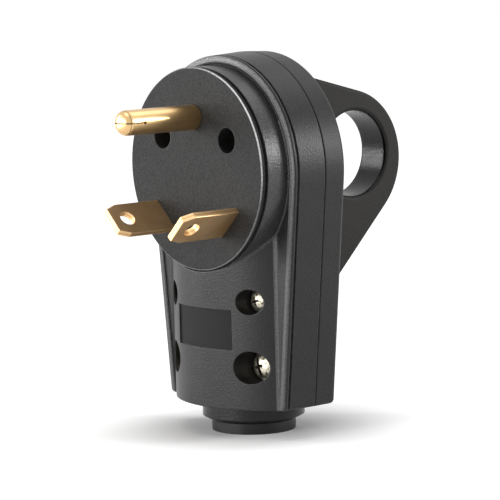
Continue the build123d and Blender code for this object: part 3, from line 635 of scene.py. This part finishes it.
def domed_head(tree, sizes):
    """A drum whose front cap has rings enough to be raised into a dome."""
    drum = add(tree, "GeometryNodeMeshCylinder", {"fill_type": "NGON"}, {
        "Vertices": HEAD_SIDES, "Side Segments": 1, "Fill Segments": HEAD_RINGS,
        "Radius": sizes["Head Radius"], "Depth": sizes["Head Height"]}, at=(-1900, 300))
    spot = add(tree, "GeometryNodeInputPosition", at=(-2000, 700)).outputs["Position"]
    flat = add(tree, "ShaderNodeVectorMath", {"operation": "MULTIPLY"}, {0: spot, 1: (1, 1, 0)},
               at=(-1800, 700))
    out = add(tree, "ShaderNodeVectorMath", {"operation": "LENGTH"}, {0: flat.outputs["Vector"]},
              at=(-1600, 700))
    share = add(tree, "ShaderNodeMath", {"operation": "DIVIDE"}, {
        0: out.outputs["Value"], 1: sizes["Head Radius"]}, at=(-1400, 700))
    curve = add(tree, "ShaderNodeMath", {"operation": "POWER"}, {
        0: share.outputs["Value"], 1: DOME_FALL_OFF}, at=(-1200, 700))
    drop = add(tree, "ShaderNodeMath", {"operation": "MULTIPLY"}, {
        0: curve.outputs["Value"], 1: sizes["Dome Rise"]}, at=(-1000, 700))
    down = add(tree, "ShaderNodeMath", {"operation": "MULTIPLY"}, {
        0: drop.outputs["Value"], 1: -1.0}, at=(-800, 700))
    lower = add(tree, "ShaderNodeCombineXYZ", inputs={"Z": down.outputs["Value"]}, at=(-600, 700))
    height = add(tree, "ShaderNodeSeparateXYZ", inputs={"Vector": spot}, at=(-1800, 900))
    front = add(tree, "ShaderNodeMath", {"operation": "GREATER_THAN"}, {
        0: height.outputs["Z"], 1: 0.0}, at=(-1600, 900))
    domed = add(tree, "GeometryNodeSetPosition", inputs={
        "Geometry": drum.outputs["Mesh"], "Selection": front.outputs["Value"],
        "Offset": lower.outputs["Vector"]}, at=(-400, 400))
    return domed.outputs["Geometry"]


def recess_wings(tree, sizes):
    """The two crossed bars that cut the cross recess, narrower towards its bottom."""
    deep = add(tree, "ShaderNodeMath", {"operation": "MULTIPLY"}, {
        0: sizes["Recess Depth"], 1: 2.0}, at=(-2000, -200))
    spot = add(tree, "GeometryNodeInputPosition", at=(-2000, -500)).outputs["Position"]
    height = add(tree, "ShaderNodeSeparateXYZ", inputs={"Vector": spot}, at=(-1850, -650))
    spread = add(tree, "ShaderNodeMapRange", inputs={
        "Value": height.outputs["Z"], "From Min": RECESS_TAPER_ENDS[0], "From Max": RECESS_TAPER_ENDS[1],
        "To Min": RECESS_TAPER[0], "To Max": RECESS_TAPER[1]}, at=(-1700, -650))
    factor = add(tree, "ShaderNodeCombineXYZ", inputs={
        "X": spread.outputs["Result"], "Y": spread.outputs["Result"], "Z": 1.0}, at=(-1550, -650))
    taper = add(tree, "ShaderNodeVectorMath", {"operation": "MULTIPLY"}, {
        0: spot, 1: factor.outputs["Vector"]}, at=(-1400, -650))
    wings = []
    sides = (("Recess Width", "Recess Span"), ("Recess Span", "Recess Width"))
    for number, (across, long) in enumerate(sides):
        size = add(tree, "ShaderNodeCombineXYZ", inputs={
            "X": sizes[across], "Y": sizes[long], "Z": deep.outputs["Value"]}, at=(-1700, -200 * number))
        wing = add(tree, "GeometryNodeMeshCube", inputs={
            "Size": size.outputs["Vector"]}, at=(-1500, -200 * number))
        shaped = add(tree, "GeometryNodeSetPosition", inputs={
            "Geometry": wing.outputs["Mesh"], "Position": taper.outputs["Vector"]}, at=(-1200, -200 * number))
        wings.append(shaped.outputs["Geometry"])
    return wings


def slot_bar(tree, sizes):
    """The bar that cuts the slot, longer than the head is wide."""
    deep = add(tree, "ShaderNodeMath", {"operation": "MULTIPLY"}, {
        0: sizes["Slot Depth"], 1: 2.0}, at=(-1900, -900))
    long = add(tree, "ShaderNodeMath", {"operation": "MULTIPLY"}, {
        0: sizes["Head Radius"], 1: 3.0}, at=(-1900, -1050))
    size = add(tree, "ShaderNodeCombineXYZ", inputs={
        "X": long.outputs["Value"], "Y": sizes["Slot Width"], "Z": deep.outputs["Value"]}, at=(-1700, -950))
    bar = add(tree, "GeometryNodeMeshCube", inputs={"Size": size.outputs["Vector"]}, at=(-1500, -950))
    return bar.outputs["Mesh"]


def carved_head(tree, sizes):
    """The domed head with the recess and the slot cut into its front. The faces of the cuts are marked."""
    top = add(tree, "ShaderNodeMath", {"operation": "MULTIPLY"}, {
        0: sizes["Head Height"], 1: 0.5}, at=(-1200, 100))
    lift = add(tree, "ShaderNodeCombineXYZ", inputs={"Z": top.outputs["Value"]}, at=(-1000, 100))
    carved = domed_head(tree, sizes)
    for number, cutter in enumerate((*recess_wings(tree, sizes), slot_bar(tree, sizes))):
        raised = add(tree, "GeometryNodeTransform", inputs={
            "Geometry": cutter, "Translation": lift.outputs["Vector"]}, at=(-800, -200 - 250 * number))
        marked = add(tree, "GeometryNodeStoreNamedAttribute", {"data_type": "BOOLEAN", "domain": "FACE"}, {
            "Geometry": raised.outputs["Geometry"], "Name": "in_recess", "Value": True},
            at=(-600, -200 - 250 * number))
        cut = add(tree, "GeometryNodeMeshBoolean", {"operation": "DIFFERENCE", "solver": "EXACT"}, {
            "Mesh 1": carved, "Mesh 2": marked.outputs["Geometry"]}, at=(-200 + 200 * number, 200))
        carved = cut.outputs["Mesh"]
    # Points that the cuts leave almost on top of each other become one
    clean = add(tree, "GeometryNodeMergeByDistance", inputs={
        "Geometry": carved, "Distance": WELD}, at=(400, 200))
    return clean.outputs["Geometry"]


def plain_shank(tree, sizes):
    """The shank, from inside the head backwards."""
    reach = add(tree, "ShaderNodeMath", {"operation": "SUBTRACT"}, {
        0: sizes["Length"], 1: sizes["Head Height"]}, at=(-1200, -1300))
    shank = add(tree, "GeometryNodeMeshCylinder", {"fill_type": "NGON"}, {
        "Vertices": SHANK_SIDES, "Radius": sizes["Shank Radius"], "Depth": reach.outputs["Value"]},
        at=(-1000, -1300))
    middle = add(tree, "ShaderNodeMath", {"operation": "MULTIPLY"}, {
        0: sizes["Length"], 1: -0.5}, at=(-1000, -1550))
    back = add(tree, "ShaderNodeCombineXYZ", inputs={"Z": middle.outputs["Value"]}, at=(-800, -1550))
    placed = add(tree, "GeometryNodeTransform", inputs={
        "Geometry": shank.outputs["Mesh"], "Translation": back.outputs["Vector"]}, at=(-600, -1300))
    return placed.outputs["Geometry"]


def crisp_rims(tree, screw):
    """The screw shaded smooth, but for its sharp rims."""
    steep = add(tree, "GeometryNodeInputMeshEdgeAngle", at=(600, -300))
    crisp = add(tree, "ShaderNodeMath", {"operation": "GREATER_THAN"}, {
        0: steep.outputs["Unsigned Angle"], 1: RIM_CREASE}, at=(800, -300))
    soft = add(tree, "GeometryNodeSetShadeSmooth", {"domain": "FACE"}, {
        "Geometry": screw, "Shade Smooth": True}, at=(800, 0))
    sharp = add(tree, "GeometryNodeSetShadeSmooth", {"domain": "EDGE"}, {
        "Geometry": soft.outputs[0], "Selection": crisp.outputs["Value"], "Shade Smooth": False},
        at=(1000, 0))
    return sharp.outputs[0]


def placed_pair(tree, sizes, screw):
    """One screw on each side of the plane of symmetry, each turned about its own axis."""
    left = add(tree, "ShaderNodeMath", {"operation": "MULTIPLY"}, {
        0: sizes["Half Spacing"], 1: -1.0}, at=(400, 500))
    apart = add(tree, "ShaderNodeMath", {"operation": "MULTIPLY"}, {
        0: sizes["Half Spacing"], 1: 2.0}, at=(400, 700))
    half = add(tree, "ShaderNodeMath", {"operation": "MULTIPLY_ADD"}, {
        0: sizes["Head Height"], 1: 0.5, 2: sizes["Head Front"]}, at=(400, 900))
    start = add(tree, "ShaderNodeCombineXYZ", inputs={
        "X": left.outputs["Value"], "Y": half.outputs["Value"], "Z": sizes["Level"]}, at=(600, 500))
    step = add(tree, "ShaderNodeCombineXYZ", inputs={"X": apart.outputs["Value"]}, at=(600, 700))
    pair = add(tree, "GeometryNodeMeshLine", {"mode": "OFFSET"}, {
        "Count": 2, "Start Location": start.outputs["Vector"], "Offset": step.outputs["Vector"]},
        at=(800, 500))
    tilted = add(tree, "GeometryNodeInstanceOnPoints", inputs={
        "Points": pair.outputs["Mesh"], "Instance": screw, "Rotation": (math.radians(90), 0, 0)},
        at=(1200, 200))
    hand = add(tree, "FunctionNodeRandomValue", {"data_type": "FLOAT"}, {
        "Min": SCREW_TURNS[0], "Max": SCREW_TURNS[1], "Seed": TURN_SEED}, at=(1000, 700))
    twist = add(tree, "ShaderNodeCombineXYZ", inputs={"Z": hand.outputs[1]}, at=(1200, 700))
    turned = add(tree, "GeometryNodeRotateInstances", inputs={
        "Instances": tilted.outputs["Instances"], "Rotation": twist.outputs["Vector"], "Local Space": True},
        at=(1400, 200))
    return turned.outputs["Instances"]


def screw_pair_tree(name):
    """The tree that makes a pair of screws, from named sizes in metres."""
    tree = bpy.data.node_groups.new(name, "GeometryNodeTree")
    interface = tree.interface
    interface.new_socket("Geometry", in_out="INPUT", socket_type="NodeSocketGeometry")
    for size in SCREW_SIZES:
        interface.new_socket(size, in_out="INPUT", socket_type="NodeSocketFloat")
    interface.new_socket("Finish", in_out="INPUT", socket_type="NodeSocketMaterial")
    interface.new_socket("Recess Finish", in_out="INPUT", socket_type="NodeSocketMaterial")
    interface.new_socket("Geometry", in_out="OUTPUT", socket_type="NodeSocketGeometry")
    sizes = add(tree, "NodeGroupInput", at=(-2300, 0)).outputs
    screw = add(tree, "GeometryNodeJoinGeometry", at=(600, 0))
    tree.links.new(carved_head(tree, sizes), screw.inputs[0])
    tree.links.new(plain_shank(tree, sizes), screw.inputs[0])
    pair = placed_pair(tree, sizes, crisp_rims(tree, screw.outputs[0]))
    real = add(tree, "GeometryNodeRealizeInstances", inputs={"Geometry": pair}, at=(1600, 200))
    plated = add(tree, "GeometryNodeSetMaterial", inputs={
        "Geometry": real.outputs["Geometry"], "Material": sizes["Finish"]}, at=(1800, 200))
    in_recess = add(tree, "GeometryNodeInputNamedAttribute", {"data_type": "BOOLEAN"}, {
        "Name": "in_recess"}, at=(1800, 0))
    grimy = add(tree, "GeometryNodeSetMaterial", inputs={
        "Geometry": plated.outputs["Geometry"], "Selection": in_recess.outputs["Attribute"],
        "Material": sizes["Recess Finish"]}, at=(2000, 200))
    add(tree, "NodeGroupOutput", inputs={"Geometry": grimy.outputs["Geometry"]}, at=(2200, 200))
    return tree


def hood_screws(node, tree, drive):
    """A pair of screws in place of a node of the solids, as large as that node."""
    low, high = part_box(node)
    head_radius = (high.z - low.z) / 2
    sizes = {
        "Head Radius": head_radius, "Dome Rise": DOME_SHARE * drive["Head Height"],
        "Length": high.y - low.y, "Half Spacing": high.x - head_radius, "Head Front": low.y,
        "Level": (low.z + high.z) / 2, "Finish": screw_nickel, "Recess Finish": recess_grime_and_shade, **drive,
    }
    holder = bpy.data.objects.new(node + "_making", bpy.data.meshes.new(node + "_making"))
    bpy.context.collection.objects.link(holder)
    maker = holder.modifiers.new("screws", "NODES")
    maker.node_group = tree
    for socket in tree.interface.items_tree:
        if socket.in_out == "INPUT" and socket.name in sizes:
            maker[socket.identifier] = sizes[socket.name]
    made = holder.evaluated_get(bpy.context.evaluated_depsgraph_get())
    mesh = bpy.data.meshes.new_from_object(made)
    holder.modifiers.remove(maker)
    bpy.data.objects.remove(holder)
    mesh.name = node + "_detailed"
    piece = bpy.data.objects.new(node + "_detailed", mesh)
    bpy.context.collection.objects.link(piece)
    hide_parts(node)
    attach(piece, "root")


screw_tree = screw_pair_tree("hood_screw_pair")
hood_screws("upper_screws", screw_tree, UPPER_SCREW)
hood_screws("clamp_screws", screw_tree, CLAMP_SCREW)


# Camera, lamps, floor and surround

def camera():
    """The camera at the photograph's angle."""
    yaw, pitch, roll = CAMERA_YAW, CAMERA_PITCH, CAMERA_ROLL
    right = Vector((math.cos(yaw), math.sin(yaw), 0))
    ahead = Vector((-math.sin(yaw) * math.cos(pitch), math.cos(yaw) * math.cos(pitch), -math.sin(pitch)))
    up = right.cross(ahead)
    turned_right = right * math.cos(roll) + up * math.sin(roll)
    turned_up = up * math.cos(roll) - right * math.sin(roll)
    spot = Vector((0, BEAD_FRONT, FACE_HEIGHT))
    spot += turned_right * CAMERA_AIM[0] + turned_up * CAMERA_AIM[1] - ahead * CAMERA_DISTANCE
    data = bpy.data.cameras.new("camera")
    data.sensor_width = SENSOR_MM
    data.lens = FOCAL_PIXELS / PICTURE_PIXELS * SENSOR_MM
    data.clip_start, data.clip_end = CAMERA_CLIP
    thing = bpy.data.objects.new("camera", data)
    axes = Matrix((turned_right, turned_up, -ahead)).transposed().to_4x4()
    thing.matrix_world = Matrix.Translation(spot) @ axes
    bpy.context.collection.objects.link(thing)
    bpy.context.scene.camera = thing


def softbox(name, direction, size, watts):
    """A soft rectangular lamp in a direction from the object, turned towards it."""
    data = bpy.data.lights.new(name, "AREA")
    data.shape = "RECTANGLE"
    data.size, data.size_y = size
    data.energy = watts
    thing = bpy.data.objects.new(name, data)
    aim = Vector(SOFTBOX_AIM)
    thing.location = aim + Vector(direction).normalized() * SOFTBOX_DISTANCE
    thing.rotation_mode = "QUATERNION"
    thing.rotation_quaternion = (aim - thing.location).to_track_quat("-Z", "Y")
    thing.visible_camera = False
    bpy.context.collection.objects.link(thing)


def background_rays(tree):
    """1 for the rays that look at the background: from the camera, or by way of metal, gloss or glass."""
    path = add(tree, "ShaderNodeLightPath", at=(-1100, 500))
    seen = add(tree, "ShaderNodeMath", {"operation": "MAXIMUM"}, {
        0: path.outputs["Is Camera Ray"], 1: path.outputs["Is Glossy Ray"]}, at=(-900, 500))
    any_of = add(tree, "ShaderNodeMath", {"operation": "MAXIMUM"}, {
        0: seen.outputs["Value"], 1: path.outputs["Is Transmission Ray"]}, at=(-700, 500))
    return any_of.outputs["Value"]


def floor_paint():
    """White painted floor. It keeps the object's shadow, and adds white of its own further away."""
    material, tree = new_material("white_painted_floor")
    place = add(tree, "ShaderNodeTexCoord", at=(-1100, 0)).outputs["Object"]
    away = add(tree, "ShaderNodeVectorMath", {"operation": "LENGTH"}, {0: place}, at=(-900, 200))
    close = add(tree, "ShaderNodeMapRange", {"interpolation_type": "SMOOTHSTEP"}, {
        "Value": away.outputs["Value"], "From Min": FLOOR_WHITE_CLOSE[0], "From Max": FLOOR_WHITE_CLOSE[1],
        "To Max": FLOOR_WHITE_CLOSE[2]}, at=(-700, 300))
    far = add(tree, "ShaderNodeMapRange", inputs={
        "Value": away.outputs["Value"], "From Min": FLOOR_WHITE_FAR[0], "From Max": FLOOR_WHITE_FAR[1],
        "To Max": FLOOR_WHITE_FAR[2]}, at=(-700, 100))
    lift = add(tree, "ShaderNodeMath", {"operation": "ADD"}, {
        0: close.outputs["Result"], 1: far.outputs["Result"]}, at=(-500, 200))
    strength = add(tree, "ShaderNodeMath", {"operation": "MULTIPLY"}, {
        0: background_rays(tree), 1: lift.outputs["Value"]}, at=(-300, 300))
    glow = add(tree, "ShaderNodeEmission", inputs={
        "Color": linear("#ffffff"), "Strength": strength.outputs["Value"]}, at=(-100, 200))
    brushed = add(tree, "ShaderNodeTexNoise", inputs={
        "Vector": place, "Scale": 1 / (2 * MM), "Detail": 2.0}, at=(-900, -200))
    tone = add(tree, "ShaderNodeMix", {"data_type": "RGBA"}, {
        0: brushed.outputs["Fac"], 6: linear("#f4f4f4"), 7: linear("#f0f0f0")}, at=(-500, -100))
    lit = add(tree, "ShaderNodeBsdfDiffuse", inputs={"Color": tone.outputs[2]}, at=(-200, -100))
    both = add(tree, "ShaderNodeAddShader", inputs={
        0: lit.outputs["BSDF"], 1: glow.outputs["Emission"]}, at=(100, 0))
    add(tree, "ShaderNodeOutputMaterial", inputs={"Surface": both.outputs["Shader"]}, at=(400, 0))
    return material


def white_floor():
    """A wide white floor, which fades into the white surround."""
    mesh = bpy.data.meshes.new("floor")
    corners = [(x * FLOOR_HALF_SIDE, y * FLOOR_HALF_SIDE, 0) for x, y in ((-1, -1), (1, -1), (1, 1), (-1, 1))]
    mesh.from_pydata(corners, [], [(0, 1, 2, 3)])
    mesh.materials.append(floor_paint())
    thing = bpy.data.objects.new("floor", mesh)
    bpy.context.collection.objects.link(thing)


def white_surround():
    """A white surround, which itself hardly lights the object."""
    surround = bpy.data.worlds.new("surround")
    bpy.context.scene.world = surround
    surround.use_nodes = True
    tree = surround.node_tree
    tree.nodes.clear()
    strength = add(tree, "ShaderNodeMapRange", inputs={
        "Value": background_rays(tree), "To Min": SURROUND_LIGHT, "To Max": 1.0}, at=(-300, 300))
    back = add(tree, "ShaderNodeBackground", inputs={
        "Color": linear("#ffffff"), "Strength": strength.outputs["Result"]}, at=(0, 0))
    add(tree, "ShaderNodeOutputWorld", inputs={"Surface": back.outputs["Background"]}, at=(300, 0))


camera()
white_surround()
white_floor()
for name, (direction, size, watts) in SOFTBOXES.items():
    softbox(name, direction, size, watts)

bpy.context.scene.view_settings.view_transform = "Standard"
